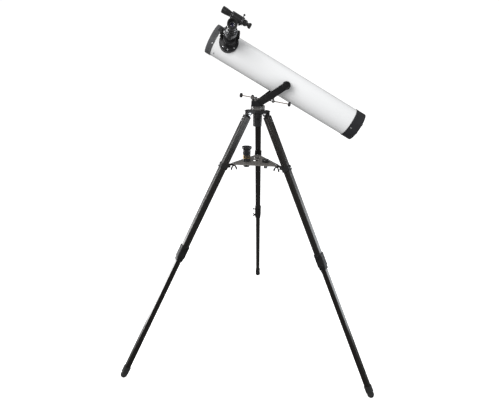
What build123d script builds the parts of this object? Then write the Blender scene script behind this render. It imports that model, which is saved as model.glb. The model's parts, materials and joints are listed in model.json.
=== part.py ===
from build123d import *
import os
from math import atan, atan2, ceil, cos, degrees, hypot, pi, radians, sin, tan

# Newtonian reflector on an alt-azimuth fork and a tripod.
# Millimetres, +Z up, the floor at Z = 0 and the azimuth axis on Z.
# The tube points up towards -X, and the focuser looks towards -Y.

# ---------------------------------------------------------------- driving dimensions
# Tripod
LEG_AZIMUTHS = {"left": 210, "right": 330, "rear": 90}
LEG_SCREW_SIDE = {"left": 1, "right": -1, "rear": 1}  # which flank carries the knobs
LEG_TOP_RADIUS = 47
LEG_TOP_Z = 1400
FOOT_RADIUS = 764  # centre of each rubber ball from the azimuth axis
FOOT_Z = 16.8
FOOT_BALL_R = 18
UPPER_LEG = (35, 30)  # radial and tangential width
LOWER_LEG = (28, 25.6)
LEG_WALL = 1.7
UPPER_END = 790  # stations are measured down the leg from its top
LOWER_START = 700
LOWER_END = 1530
KNEE_START = 760
KNEE_END = 845
PIVOT_STATION = 10
COLLAR_STATION = 298
# Accessory tray
TRAY_Z = 1142
TRAY_SHEET = 2.5
TRAY_RIM = 6
TRAY_CORNER = 152  # circumscribed radius before the corners are rounded
TRAY_HOLE_R = 17
TRAY_HOLES = ((0, 10), (0, 65), (-49, -16), (51, -17))
TRAY_SCREW_RADIUS = 126
# Head
HUB_TOP_Z = 1410
SLEEVE_Z = 1327
SLEEVE_R = 23.5
SPINDLE_R = 10
HEAD_R = 35
HEAD_TOP_Z = 1431
STUD_R = 6
RUN = 0.06  # radial clearance of a running fit
GAP = 0.3  # air between flat faces that move past each other
# Slow-motion screw: two points on its axis, at the knob centres
ROD_LEFT = Vector(-84.1, -5, 1477.5)
ROD_RIGHT = Vector(154.4, -88, 1452)
ROD_R = 2.5
POST_X = -26.5  # left bearing of the screw
# Fork
PIVOT = Vector(136, 0, 1538)  # altitude axis, along Y
FORK_BASE_Z = 1440
FORK_WIDTH = 32
ARM_INNER_BASE = 38.5
ARM_INNER_TOP = 81
ARM_THICK = 12
BOSS_R = 17
# Optical tube; its own frame has its origin on the altitude axis and +X to the rear
ALTITUDE = 28.34
TUBE_R = 69
TUBE_WALL = 1.6
RING_R = 71.1
TUBE_FRONT = -416
TUBE_REAR = 413
FRONT_RING = 29
REAR_CELL = 52
RING_SCREW_ANGLES = (102, 222, 342)
MIRROR_R = 57
FOCUS_STATION = -328.4
FOCUS_ANGLE = 23.2  # focuser direction above the horizontal -Y side
HOUSING_TURN = 25  # the housing is turned on its flange, which brings the knobs near level
# Focuser heights are measured from the tube axis
DRAW_R = 18
DRAW_IN = 58
HOLDER_Z = 178
COLLAR_R = 27
EYEPIECE_Z = 210
EYE_TOP = 280
BARREL_R = 15.875  # the standard 1.25 inch barrel
PINION_Z = 108
GEAR_MODULE = 0.75
GEAR_TEETH = 16
RACK_PITCH_Y = 19.1
# Finder
FINDER_ANGLE = 78
FINDER_H = 140
FINDER_FRONT = -427
FINDER_REAR = -278

# ---------------------------------------------------------------- worked-out sizes
LEG_TILT = atan((FOOT_RADIUS - LEG_TOP_RADIUS) / (LEG_TOP_Z - FOOT_Z))
LEG_LENGTH = hypot(FOOT_RADIUS - LEG_TOP_RADIUS, LEG_TOP_Z - FOOT_Z)
FORK_LEAN = degrees(atan2(PIVOT.Z - FORK_BASE_Z, PIVOT.X))
FORK_REACH = hypot(PIVOT.Z - FORK_BASE_Z, PIVOT.X)
ARM_OUTER_TOP = ARM_INNER_TOP + ARM_THICK
GEAR_R = GEAR_MODULE * GEAR_TEETH / 2
PINION_Y = RACK_PITCH_Y + GEAR_R
ROD_DIR = (ROD_RIGHT - ROD_LEFT).normalized()
UP = (Align.CENTER, Align.CENTER, Align.MIN)


# ---------------------------------------------------------------- helpers
def cyl(radius, start, end):
    """Cylinder on Z between two heights."""
    return Pos(0, 0, start) * Cylinder(radius, end - start, align=UP)


def cyl_x(radius, start, end, y=0, z=0):
    """Cylinder along X between two stations."""
    return Pos(start, y, z) * (Rot(0, 90, 0) * Cylinder(radius, end - start, align=UP))


def cyl_y(radius, start, end, x=0, z=0):
    """Cylinder along Y between two stations."""
    return Pos(x, start, z) * (Rot(-90, 0, 0) * Cylinder(radius, end - start, align=UP))


def block(x, y, z):
    """Box between the two ends given for each axis."""
    size = [abs(v[1] - v[0]) for v in (x, y, z)]
    middle = [(v[1] + v[0]) / 2 for v in (x, y, z)]
    return Pos(*middle) * Box(*size)


def bar(width, depth, corner, start, end):
    """Rounded rectangular bar along Z."""
    face = RectangleRounded(width, depth, corner)
    return Pos(0, 0, start) * extrude(face, end - start)


def turned(points):
    """Solid of revolution about Z from (radius, height) points."""
    profile = make_face(Polyline(*[(r, 0, z) for r, z in points], close=True))
    return revolve(profile, Axis.Z)


def knob(radius, start, end, flutes, bore=0):
    """Round knob on Z with a scalloped rim and softened edges."""
    body = cyl(radius, start, end)
    body = chamfer(body.edges().filter_by(GeomType.CIRCLE), min(1.2, radius * 0.12))
    depth = radius * 0.07
    cutter = radius * 0.16
    for i in range(flutes):
        at = Rot(0, 0, 360 * i / flutes) * Pos(radius + cutter - depth, 0, 0)
        body -= at * cyl(cutter, start - 1, end + 1)
    if bore:
        body -= cyl(bore, start - 1, end + 1)
    return body


def wing_head(start, hub=6, span=15, height=12):
    """Wing-nut head standing on Z from a height."""
    body = cyl(hub, start, start + 7)
    wing = Polyline((0, start + 2), (hub, start + 1), (span, start + height * 0.6),
                    (span, start + height), (span - 5, start + height),
                    (hub - 2, start + 6), (0, start + 6), close=True)
    face = Plane.XZ * make_face(wing)
    for turn in (0, 180):
        body += Rot(0, 0, turn) * extrude(face, 1.75, both=True)
    return body


def along(origin, direction, x_dir=None):
    """Frame with its Z along a direction."""
    plane = Plane(origin=origin, z_dir=direction, x_dir=x_dir)
    return plane.location


def as_group(solids):
    return Compound(children=[s for shape in solids for s in shape.solids()])


def save(name, shape):
    os.makedirs("parts", exist_ok=True)
    solids = shape.solids()
    export_step(solids[0] if len(solids) == 1 else as_group([shape]), f"parts/{name}.step")


# ---------------------------------------------------------------- tripod
def leg_frame(azimuth):
    """Frame of one leg: +Z up the leg, +X its outer face, +Y round the tripod."""
    a = radians(azimuth)
    radial = Vector(cos(a), sin(a), 0)
    outward = radial * cos(LEG_TILT) + Vector(0, 0, sin(LEG_TILT))
    upward = Vector(0, 0, cos(LEG_TILT)) - radial * sin(LEG_TILT)
    top = radial * LEG_TOP_RADIUS + Vector(0, 0, LEG_TOP_Z)
    return along(top, upward, outward)


def grooved_tube(size, wall, corner, start, end):
    """Leg section: a hollow bar with a shallow groove down each flank."""
    tube = bar(size[0], size[1], corner, -end, -start)
    tube -= bar(size[0] - 2 * wall, size[1] - 2 * wall, corner - 1.2, -end - 1, -start + 1)
    for side in (-1, 1):
        y = side * size[1] / 2
        tube -= block((-5, 5), (y - 0.6, y + 0.6), (-end - 1, -start + 1))
    return tube


def leg_top_bracket():
    body = bar(31.2, 26.2, 3, -60, -28) + bar(35, 30, 5, -28, -22)
    body += block((-10, 10), (-11, 11), (-23, -PIVOT_STATION))
    body += cyl_y(10, -11, 11, z=-PIVOT_STATION)
    return body - cyl_y(3.1, -20, 20, z=-PIVOT_STATION)


def knee_clamp(side):
    """Collar that holds the upper leg and grips the lower one."""
    body = bar(42, 37, 6, -828, -KNEE_START)
    body += bar(36, 33.6, 5, -KNEE_END, -828)
    body += cyl_y(7.5, 0, 22, z=-834) if side > 0 else cyl_y(7.5, -22, 0, z=-834)
    body += cyl_y(6, 0, 20.5, z=-775) if side > 0 else cyl_y(6, -20.5, 0, z=-775)
    body -= bar(UPPER_LEG[0] + 0.1, UPPER_LEG[1] + 0.1, 5, -UPPER_END - 0.1, -KNEE_START + 1)
    body -= bar(LOWER_LEG[0] + 0.4, LOWER_LEG[1] + 0.4, 4, -KNEE_END - 1, -UPPER_END)
    return body - cyl_y(3 + RUN, min(0, side * 30), max(0, side * 30), z=-834)


def knee_screw(side):
    """Wing screw that locks the knee, on the flank of the clamp."""
    screw = cyl(3, LOWER_LEG[1] / 2 + GAP, 24) + wing_head(22 + GAP)
    return Pos(0, 0, -834) * (Rot(-90 * side, 0, 0) * (Rot(0, 0, 90) * screw))


def stop_knob(side):
    """Small round knob near the top of the knee clamp."""
    body = cyl(2.4, 20.5, 26) + knob(5, 25, 33, 8)
    return Pos(0, 0, -775) * (Rot(-90 * side, 0, 0) * body)


def rubber_foot(azimuth):
    """Rubber ball foot in the world frame, flattened where it meets the floor."""
    body = bar(33.5, 31, 6, -1545, -1508) + Pos(0, 0, -LEG_LENGTH) * Sphere(FOOT_BALL_R)
    body -= bar(LOWER_LEG[0], LOWER_LEG[1], 4, -LOWER_END, -1500)
    body = leg_frame(azimuth) * body
    reach = FOOT_RADIUS + 100
    return body - block((-reach, reach), (-reach, reach), (-50, 0))


def tray_collar(azimuth):
    """Collar round the upper leg with the lug that the tray is screwed to."""
    leg = leg_frame(azimuth)
    body = leg * bar(42, 37, 6, -COLLAR_STATION - 13, -COLLAR_STATION + 13)
    lug = block((TRAY_SCREW_RADIUS - 11, 176), (-11, 11), (TRAY_Z - 6, TRAY_Z - 1))
    lug += block((150, 172), (-11, 11), (TRAY_Z - 16, TRAY_Z - 1))
    lug += block((TRAY_SCREW_RADIUS - 11, 140), (-11, 11), (TRAY_Z - 1.1, TRAY_Z))
    lug -= Pos(TRAY_SCREW_RADIUS, 0, 0) * cyl(2.6, TRAY_Z - 20, TRAY_Z + 5)
    body += Rot(0, 0, azimuth) * lug
    bore = bar(UPPER_LEG[0] + 0.1, UPPER_LEG[1] + 0.1, 5, -COLLAR_STATION - 60, -COLLAR_STATION + 60)
    return body - leg * bore


def tray_screw(azimuth):
    """Wing screw from below and its dome nut above the tray."""
    top = TRAY_Z + TRAY_SHEET
    under = TRAY_Z - 6
    screw = cyl(2.5, under - 2, top + 1) + cyl(5, top, top + 3)
    wing = Pos(0, 0, under) * (Rot(180, 0, 0) * wing_head(0, 6.5, 17, 27))
    return Rot(0, 0, azimuth) * (Pos(TRAY_SCREW_RADIUS, 0, 0) * (screw + wing))


def accessory_tray():
    """Triangular pressed plate with a turned-down rim and four eyepiece holes."""
    outer = RegularPolygon(TRAY_CORNER, 3, rotation=90)
    outer = fillet(outer.vertices(), 16)
    inner = offset(outer, -1.8)
    plate = Pos(0, 0, TRAY_Z + TRAY_SHEET - TRAY_RIM) * extrude(outer, TRAY_RIM)
    plate -= Pos(0, 0, TRAY_Z + TRAY_SHEET - TRAY_RIM - 1) * extrude(inner, TRAY_RIM + 1 - TRAY_SHEET)
    for x, y in TRAY_HOLES:
        plate -= Pos(x, y, 0) * cyl(TRAY_HOLE_R, TRAY_Z - 10, TRAY_Z + 10)
    for azimuth in LEG_AZIMUTHS.values():
        slot = block((TRAY_SCREW_RADIUS - 4, TRAY_CORNER + 5), (-12, 12), (TRAY_Z - 10, TRAY_Z))
        plate -= Rot(0, 0, azimuth) * slot
        plate -= Rot(0, 0, azimuth) * (Pos(TRAY_SCREW_RADIUS, 0, 0) * cyl(2.6, TRAY_Z - 9, TRAY_Z + 9))
    return plate


def tripod_hub():
    """Central casting: a sleeve, a flange and three pairs of ears."""
    body = cyl(29, 1394, HUB_TOP_Z) + turned([(0, SLEEVE_Z), (SLEEVE_R - 1.5, SLEEVE_Z),
                                             (SLEEVE_R, 1396), (0, 1396)])
    pivot_r = LEG_TOP_RADIUS + PIVOT_STATION * sin(LEG_TILT)
    pivot_z = LEG_TOP_Z - PIVOT_STATION * cos(LEG_TILT)
    for azimuth in LEG_AZIMUTHS.values():
        arm = block((20, pivot_r), (-17, 17), (1402.5, HUB_TOP_Z))
        arm += block((22, 36), (-17, 17), (1394, HUB_TOP_Z))
        crown = cyl_y(HUB_TOP_Z - pivot_z, -17, 17, x=pivot_r, z=pivot_z)
        arm += crown & block((pivot_r - 1, 80), (-20, 20), (1402.5, HUB_TOP_Z + 1))
        for side in (-1, 1):
            y = sorted((side * 11.3, side * 17))
            arm += block((24, pivot_r), y, (pivot_z, HUB_TOP_Z)) + cyl_y(10.4, *y, x=pivot_r, z=pivot_z)
            arm += block((pivot_r - 1, 61), y, (pivot_z, 1403))
        arm -= cyl_y(3.1, -25, 25, x=pivot_r, z=pivot_z)
        body += Rot(0, 0, azimuth) * arm
    body -= cyl(SPINDLE_R + RUN, SLEEVE_Z - 1, HUB_TOP_Z + 1)
    return body - cyl_y(3 + RUN, -40, 0, z=1370)


def leg_pivot_bolt(azimuth):
    """Bolt through the hub ears and a leg top, with its head and nut."""
    pivot_r = LEG_TOP_RADIUS + PIVOT_STATION * sin(LEG_TILT)
    pivot_z = LEG_TOP_Z - PIVOT_STATION * cos(LEG_TILT)
    bolt = cyl(3, -19, 19)
    for turn in (0, 180):
        head = Pos(0, 0, 17) * extrude(RegularPolygon(5.8, 6), 4)
        bolt += Rot(turn, 0, 0) * head
    return Rot(0, 0, azimuth) * (Pos(pivot_r, 0, pivot_z) * (Rot(-90, 0, 0) * bolt))


# ---------------------------------------------------------------- azimuth head and fork
def rod_point(x):
    """Point on the slow-motion screw's axis at a given X."""
    return ROD_LEFT + ROD_DIR * ((x - ROD_LEFT.X) / ROD_DIR.X)


def nut_point():
    """Point of the slow-motion screw nearest the azimuth axis, in plan."""
    flat = Vector(ROD_DIR.X, ROD_DIR.Y, 0)
    start = Vector(ROD_LEFT.X, ROD_LEFT.Y, 0)
    t = -start.dot(flat) / flat.dot(flat)
    return ROD_LEFT + ROD_DIR * t


NUT = nut_point()
ARM_RADIUS = hypot(NUT.X, NUT.Y)
ARM_AZIMUTH = degrees(atan2(NUT.Y, NUT.X))
TANGENT_TOP = NUT.Z - 7


def azimuth_head():
    """Turning disc with its spindle, the stud for the fork and the tangent arm."""
    body = cyl(SPINDLE_R, SLEEVE_Z + 5, HUB_TOP_Z + 5)
    disc = cyl(HEAD_R, HUB_TOP_Z + GAP, HEAD_TOP_Z)
    body += chamfer(disc.edges().filter_by(GeomType.CIRCLE), 1.2)
    body += cyl(STUD_R, HEAD_TOP_Z - 1, 1453)
    lug = block((ARM_RADIUS - 6.5, ARM_RADIUS + 5), (-4.5, 4.5), (HEAD_TOP_Z - 2, TANGENT_TOP))
    lug += block((24, 34.5), (-4.5, 4.5), (HEAD_TOP_Z - 2, HEAD_TOP_Z + 6))
    slot = block((ARM_RADIUS - 3.5, ARM_RADIUS + 3.5), (-2.1, 2.1), (TANGENT_TOP - 9, TANGENT_TOP + 1))
    return body + Rot(0, 0, ARM_AZIMUTH) * (lug - slot)


def fork():
    """One-piece yoke: base plate, two cheeks and two arms that flare to the tube."""
    low = HEAD_TOP_Z + GAP
    plate = block((-30, 26), (-49.5, 49.5), (low, 1443))
    plate -= Rot(0, 0, ARM_AZIMUTH) * block((ARM_RADIUS - 10.5, 60), (-10, 10), (low - 1, 1460))
    body = plate
    frame = Plane(origin=(0, 0, FORK_BASE_Z), x_dir=(cos(radians(FORK_LEAN)), 0, sin(radians(FORK_LEAN))),
                  z_dir=(-sin(radians(FORK_LEAN)), 0, cos(radians(FORK_LEAN)))).location
    for side in (-1, 1):
        outline = [(-22, ARM_INNER_BASE), (14, ARM_INNER_BASE), (76, ARM_INNER_TOP),
                   (FORK_REACH, ARM_INNER_TOP), (FORK_REACH, ARM_OUTER_TOP), (72, ARM_OUTER_TOP),
                   (9, ARM_INNER_BASE + 11), (-22, ARM_INNER_BASE + 11)]
        face = make_face(Polyline(*[(s, side * y) for s, y in outline], close=True))
        arm = extrude(face, FORK_WIDTH / 2, both=True)
        y = sorted((side * ARM_INNER_TOP, side * ARM_OUTER_TOP))
        arm += cyl_y(19.5, *y, x=FORK_REACH)
        arm = frame * arm
        arm -= block((-80, 80), (-100, 100), (1380, low))
        y = sorted((side * ARM_INNER_BASE, side * (ARM_INNER_BASE + 11)))
        arm += block((-30, -2), y, (low, 1456)) + block((-2, 26), y, (low, 1441))
        arm -= cyl_y(7 + RUN, side * 100 if side < 0 else 0, 0 if side < 0 else 100, x=PIVOT.X, z=PIVOT.Z)
        body += arm
    return body - cyl(STUD_R + RUN, low - 1, 1460)


def spindle_nut():
    hexagon = extrude(RegularPolygon(10.5, 6), 7)
    return Pos(0, 0, 1443 + 0.2) * hexagon - cyl(STUD_R, 1440, 1460)


def slow_motion_screw():
    frame = along(ROD_LEFT, ROD_DIR)
    return frame * cyl(ROD_R, -4, (ROD_RIGHT - ROD_LEFT).length + 4)


def slow_motion_knobs():
    frame = along(ROD_LEFT, ROD_DIR)
    length = (ROD_RIGHT - ROD_LEFT).length
    return [frame * (Pos(0, 0, at) * knob(11, -4.5, 4.5, 12, ROD_R)) for at in (0, length)]


def slow_motion_nut():
    """Travelling nut on the screw, with the pin that works in the tangent arm."""
    body = along(NUT, ROD_DIR, Vector(0, 0, 1)) * block((-5.5, 5.5), (-5.5, 5.5), (-5, 5))
    body -= along(NUT, ROD_DIR) * cyl(ROD_R + RUN, -10, 10)
    return body + Pos(NUT.X, NUT.Y, 0) * cyl(2, TANGENT_TOP - 8, NUT.Z - 4)


def rod_bore():
    return along(ROD_LEFT, ROD_DIR) * cyl(ROD_R + RUN, 0, (ROD_RIGHT - ROD_LEFT).length)


def slow_motion_post():
    """Left bearing: a post on the fork base with the screw's bearing block."""
    at = rod_point(POST_X)
    body = Pos(at.X, at.Y, 0) * block((-3.5, 3.5), (-6, 6), (1443, at.Z))
    body += along(at, ROD_DIR, Vector(0, 0, 1)) * block((-8, 7), (-7.5, 7.5), (-6, 6))
    return body - rod_bore()


def bearing_thumb_nut():
    frame = along(rod_point(POST_X), ROD_DIR, Vector(0, 0, 1))
    return frame * (Rot(0, 90, 0) * knob(6, 7, 12, 10))


def slow_motion_bearing():
    """Right bearing: an eye on the screw, hung from the inner face of the near arm."""
    at = rod_point(76.5)
    eye = along(at, ROD_DIR) * cyl(7.5, -5, 5)
    face_y = -ARM_INNER_TOP
    body = eye + block((at.X - 5, at.X + 5), (at.Y - 3, at.Y + 2), (at.Z, 1492))
    body += block((at.X - 5, at.X + 5), (face_y, at.Y), (1487, 1492))
    body += block((at.X - 7, at.X + 7), (face_y, face_y + 3), (1482, 1498))
    return body - rod_bore()


def azimuth_lock_screw():
    """Thumb screw in the front of the sleeve that clamps the spindle."""
    body = cyl(3, SPINDLE_R + GAP, 26) + knob(6, SLEEVE_R + 0.6, 31, 10)
    return Pos(0, 0, 1370) * (Rot(90, 0, 0) * body)


# ---------------------------------------------------------------- optical tube
TUBE = Plane(origin=PIVOT, x_dir=(cos(radians(ALTITUDE)), 0, -sin(radians(ALTITUDE))),
             z_dir=(sin(radians(ALTITUDE)), 0, cos(radians(ALTITUDE)))).location
FOCUS_AXIS = (0, -cos(radians(FOCUS_ANGLE)), sin(radians(FOCUS_ANGLE)))
SADDLE = Plane(origin=(FOCUS_STATION, 0, 0), x_dir=(1, 0, 0), z_dir=FOCUS_AXIS).location
FOCUSER = SADDLE * Rot(0, 0, HOUSING_TURN)
FINDER_AXIS = (0, -cos(radians(FINDER_ANGLE)), sin(radians(FINDER_ANGLE)))
FINDER = Plane(origin=(0, 0, 0), x_dir=(1, 0, 0), z_dir=FINDER_AXIS).location


def main_tube():
    body = cyl_x(TUBE_R, TUBE_FRONT + 6, TUBE_REAR - 10)
    body -= cyl_x(TUBE_R - TUBE_WALL, TUBE_FRONT, TUBE_REAR)
    return body - FOCUSER * cyl(21.5, 30, 90)


def front_ring():
    body = cyl_x(RING_R, TUBE_FRONT, TUBE_FRONT + FRONT_RING)
    body = fillet(body.edges().filter_by(GeomType.CIRCLE), 2)
    body -= cyl_x(TUBE_R, TUBE_FRONT + 6, TUBE_FRONT + FRONT_RING + 1)
    return body - cyl_x(62, TUBE_FRONT - 1, TUBE_FRONT + 7)


def rear_cell():
    """Cup that closes the rear, with the holes of the collimation screws."""
    body = cyl_x(RING_R, TUBE_REAR - REAR_CELL, TUBE_REAR)
    body = fillet(body.edges().filter_by(GeomType.CIRCLE), 2)
    body -= cyl_x(TUBE_R, TUBE_REAR - REAR_CELL - 1, TUBE_REAR - 10)
    body -= cyl_x(TUBE_R - 5, TUBE_REAR - 11, TUBE_REAR - 6)
    for angle in range(0, 360, 60):
        body -= Rot(angle, 0, 0) * cyl_x(2.2, TUBE_REAR - 12, TUBE_REAR + 1, z=45)
    return body


def mirror_cell():
    """Plate that carries the primary mirror in front of the rear cup."""
    body = cyl_x(60, 388, 393)
    for angle in (30, 150, 270):
        body += Rot(angle, 0, 0) * block((386, 388.5), (-8, 8), (38, 50))
    return body


def primary_mirror():
    """Concave disc, hollowed to its real radius of curvature."""
    curvature = 2 * 900
    body = cyl_x(MIRROR_R, 371, 386)
    return body - Pos(371 + 1 - curvature, 0, 0) * Sphere(curvature)


def mirror_clip(angle):
    body = block((366, 390), (-6, 6), (MIRROR_R + 0.4, MIRROR_R + 2.9))
    body += block((366, 370.6), (-6, 6), (MIRROR_R - 7, MIRROR_R + 2.9))
    return Rot(angle, 0, 0) * body


def collimation_screw(angle):
    """Screw with a knurled head behind the cup; it runs forward to the mirror plate."""
    body = cyl_x(2.1, 393, TUBE_REAR + 2, z=45)
    head = Pos(0, 0, 45) * (Rot(0, 90, 0) * knob(6, TUBE_REAR, TUBE_REAR + 7, 10))
    return Rot(angle, 0, 0) * (body + head)


def ring_screw(station, angle):
    body = cyl(2, TUBE_R - 4, RING_R + 0.2) + cyl(3.6, RING_R - 0.3, RING_R + 1.4)
    return Rot(angle, 0, 0) * (Pos(station, 0, 0) * body)


def spider():
    """Hub and four thin vanes across the mouth of the tube."""
    body = cyl_x(9, -380, -366)
    for angle in (45, 135, 225, 315):
        vane = block((-378, -368), (-0.5, 0.5), (5, TUBE_R - TUBE_WALL - 0.02))
        body += Rot(angle, 0, 0) * vane
    return body - cyl_x(2.5, -390, -360)


def mirror_slab(front, back):
    """Slab across the tube axis that faces half way between the tube and the focuser."""
    normal = Vector(1, 0, 0) + Vector(*FOCUS_AXIS)
    frame = along((FOCUS_STATION, 0, 0), normal, Vector(1, 0, 0) - Vector(*FOCUS_AXIS))
    return frame * block((-40, 40), (-40, 40), (back, front))


def secondary_mirror():
    return cyl_x(13, FOCUS_STATION - 30, FOCUS_STATION + 30) & mirror_slab(0, -4)


def secondary_holder():
    """Slanted stub behind the diagonal mirror, its stalk and three adjusters."""
    body = cyl_x(12, -352, FOCUS_STATION + 30) - mirror_slab(80, -4)
    return body + cyl_x(2.5, -382, -351)


def trunnion(side):
    """Round boss on the flank of the tube, with the pivot pin and its stud."""
    y = sorted((side * 55, side * (ARM_INNER_TOP - 1.5)))
    body = cyl_y(BOSS_R, *y) - cyl_x(TUBE_R, -60, 60)
    pin = cyl(7, 75, ARM_OUTER_TOP + 0.3) + cyl(4, ARM_OUTER_TOP - 2, 112)
    return body + Rot(-90 * side, 0, 0) * pin


def altitude_knob(side):
    body = knob(19, ARM_OUTER_TOP + 0.7, 110, 9, 4 + RUN)
    return Rot(-90 * side, 0, 0) * body


# ---------------------------------------------------------------- focuser, in its own frame
def involute(angle):
    return tan(angle) - angle


def gear(width, backlash=0.12):
    """Involute pinion along X, with a tooth space facing the rack."""
    pressure = radians(20)
    base = GEAR_R * cos(pressure)
    root = GEAR_R - 1.15 * GEAR_MODULE
    tip = GEAR_R + 0.85 * GEAR_MODULE
    half = (pi * GEAR_MODULE / 4 - backlash / 2) / GEAR_R + involute(pressure)
    points = []
    steps = 5
    for tooth in range(GEAR_TEETH):
        middle = 2 * pi * (tooth + 0.5) / GEAR_TEETH
        radii = [max(base, root) + (tip - max(base, root)) * i / steps for i in range(steps + 1)]
        flank = [(r, half - involute(atan(max(0.0, (r / base) ** 2 - 1) ** 0.5))) for r in radii]
        left = [(root, half)] + flank
        for r, a in left:
            points.append((r * cos(middle - a), r * sin(middle - a)))
        for r, a in reversed(left):
            points.append((r * cos(middle + a), r * sin(middle + a)))
    face = make_face(Polyline(*points, close=True))
    return Rot(0, 90, 0) * extrude(face, width / 2, both=True)


def rack(start, end, width):
    """Rack up the drawtube: a bar with straight teeth, one tooth at the pinion's height."""
    pitch = pi * GEAR_MODULE
    root = RACK_PITCH_Y - 1.1 * GEAR_MODULE
    tip = RACK_PITCH_Y + 0.85 * GEAR_MODULE
    slope = tan(radians(20))
    body = block((-width / 2, width / 2), (DRAW_R - 1.2, root), (start, end))
    half = pitch / 4
    first = ceil((start - PINION_Z) / pitch + 0.5)
    last = int((end - PINION_Z) / pitch - 0.5)
    for n in range(first, last + 1):
        z = PINION_Z + n * pitch
        low = half + (RACK_PITCH_Y - root) * slope
        high = half - (tip - RACK_PITCH_Y) * slope
        tooth = Polyline((root - 0.1, z - low), (root, z - low), (tip, z - high), (tip, z + high),
                         (root, z + low), (root - 0.1, z + low), close=True)
        face = Plane.YZ * make_face(tooth)
        body += extrude(face, width / 2, both=True)
    return body


def focuser_base():
    """Saddle flange and housing with the drawtube bore and the pinion chamber."""
    body = cyl(45, 48, 79)
    body += turned([(0, 78), (42, 78), (41, 81), (30, 84), (28, 88), (28, 128), (0, 128)])
    body += block((-21, 21), (0, PINION_Y + 9), (PINION_Z - 12, PINION_Z + 12))
    body -= Rot(0, 0, -HOUSING_TURN) * cyl_x(TUBE_R, -80, 80)
    body -= cyl(DRAW_R + RUN, 30, 140)
    body -= block((-4.4, 4.4), (10, RACK_PITCH_Y + 1.2), (30, 140))
    body -= cyl_x(GEAR_R + 1.1, -7, 7, y=PINION_Y, z=PINION_Z)
    return body - cyl_x(4 + RUN, -30, 30, y=PINION_Y, z=PINION_Z)


def drawtube():
    """Sliding tube with its rack and the clamp collar for the eyepiece."""
    body = cyl(DRAW_R, DRAW_IN, HOLDER_Z + 2)
    collar = cyl(COLLAR_R, HOLDER_Z, EYEPIECE_Z)
    body += chamfer(collar.edges().filter_by(GeomType.CIRCLE), 1.5)
    body += rack(76, 144, 7.6)
    return body - cyl(BARREL_R + 0.08, DRAW_IN - 1, EYEPIECE_Z + 1)


def focus_shaft():
    body = gear(12) + cyl_x(4, -43, 43)
    return Pos(0, PINION_Y, PINION_Z) * body


def focus_knobs():
    shapes = []
    for side in (-1, 1):
        body = Rot(0, 90 * side, 0) * knob(18.5, 29.5, 44.5, 18, 4)
        shapes.append(Pos(0, PINION_Y, PINION_Z) * body)
    return shapes


def eyepiece_setscrew(angle):
    """Small thumb screw in the clamp collar."""
    body = cyl(2, BARREL_R + 0.3, 31.5) + knob(5.5, 30.5, 38.5, 10)
    return Pos(0, 0, HOLDER_Z + 16) * (Rot(0, 0, angle) * (Rot(0, 90, 0) * body))


def eyepiece():
    """Barrel and body, bored through for the lenses."""
    body = turned([(13, 184), (BARREL_R, 184), (BARREL_R, EYEPIECE_Z), (21, EYEPIECE_Z),
                   (21, 226), (20, 229), (20, 262), (9, 262), (9, 250), (13, 246)])
    return body


def eyecup():
    return turned([(11, 262), (20.6, 262), (21.8, 266), (21.6, EYE_TOP), (18.5, EYE_TOP), (14, 266),
                   (11, 265)])


# ---------------------------------------------------------------- finder, in its own frame
def finder_bracket():
    body = cyl_x(18.5, -379, -318, z=FINDER_H)
    body += block((-374, -336), (-7, 7), (72, FINDER_H - 14))
    foot = block((-384, -326), (-15, 15), (60, 76))
    body += chamfer(foot.edges().filter_by(Axis.Z), 5)
    body -= cyl_x(TUBE_R, -400, -300)
    body -= cyl_x(13.2, -385, -310, z=FINDER_H)
    return body - cyl_x(15.8, -371, -330, z=FINDER_H)


def finder_tube():
    profile = [(10, FINDER_FRONT), (15.5, FINDER_FRONT), (15.5, -408), (12.2, -384), (12.2, -316),
               (13.6, -315), (13.6, -302), (8, -296), (8, -292), (12, -289), (12.6, FINDER_REAR),
               (5.5, FINDER_REAR),
               (5.5, -296), (10, -303), (10, -386), (13, -408), (13, -423), (10, -423)]
    spindle = turned(profile)
    return Pos(0, 0, FINDER_H) * (Rot(0, 90, 0) * spindle)


def finder_lens(station, radius):
    return cyl_x(radius, station, station + 4, z=FINDER_H)


def finder_screw(angle):
    body = cyl(1.8, 12.4, 26) + knob(4.5, 25, 32, 8)
    return Pos(-326, 0, FINDER_H) * (Rot(angle, 0, 0) * body)


# ---------------------------------------------------------------- accessories on the tray
def barlow():
    """Tall black tube with a flared top, standing in a tray hole."""
    top = TRAY_Z + TRAY_SHEET
    body = turned([(13, top - 28), (15.8, top - 28), (15.8, top), (20, top), (20, top + 64),
                   (24.5, top + 67), (25.5, top + 72), (24.5, top + 78), (19.5, top + 78),
                   (17, top + 66), (13, top + 60)])
    return Pos(*TRAY_HOLES[2], 0.2) * body


def spare_eyepiece():
    top = TRAY_Z + TRAY_SHEET
    body = turned([(0, top), (18.5, top), (18.5, top + 11), (16, top + 15), (9, top + 15),
                   (8, top + 12), (0, top + 12)])
    return Pos(*TRAY_HOLES[3], 0.2) * body


def spare_barrel():
    top = TRAY_Z + TRAY_SHEET
    tube = cyl(15.8, top - 30, top) - cyl(14.6, top - 31, top - 4)
    return Pos(*TRAY_HOLES[3], 0.2) * tube


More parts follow.
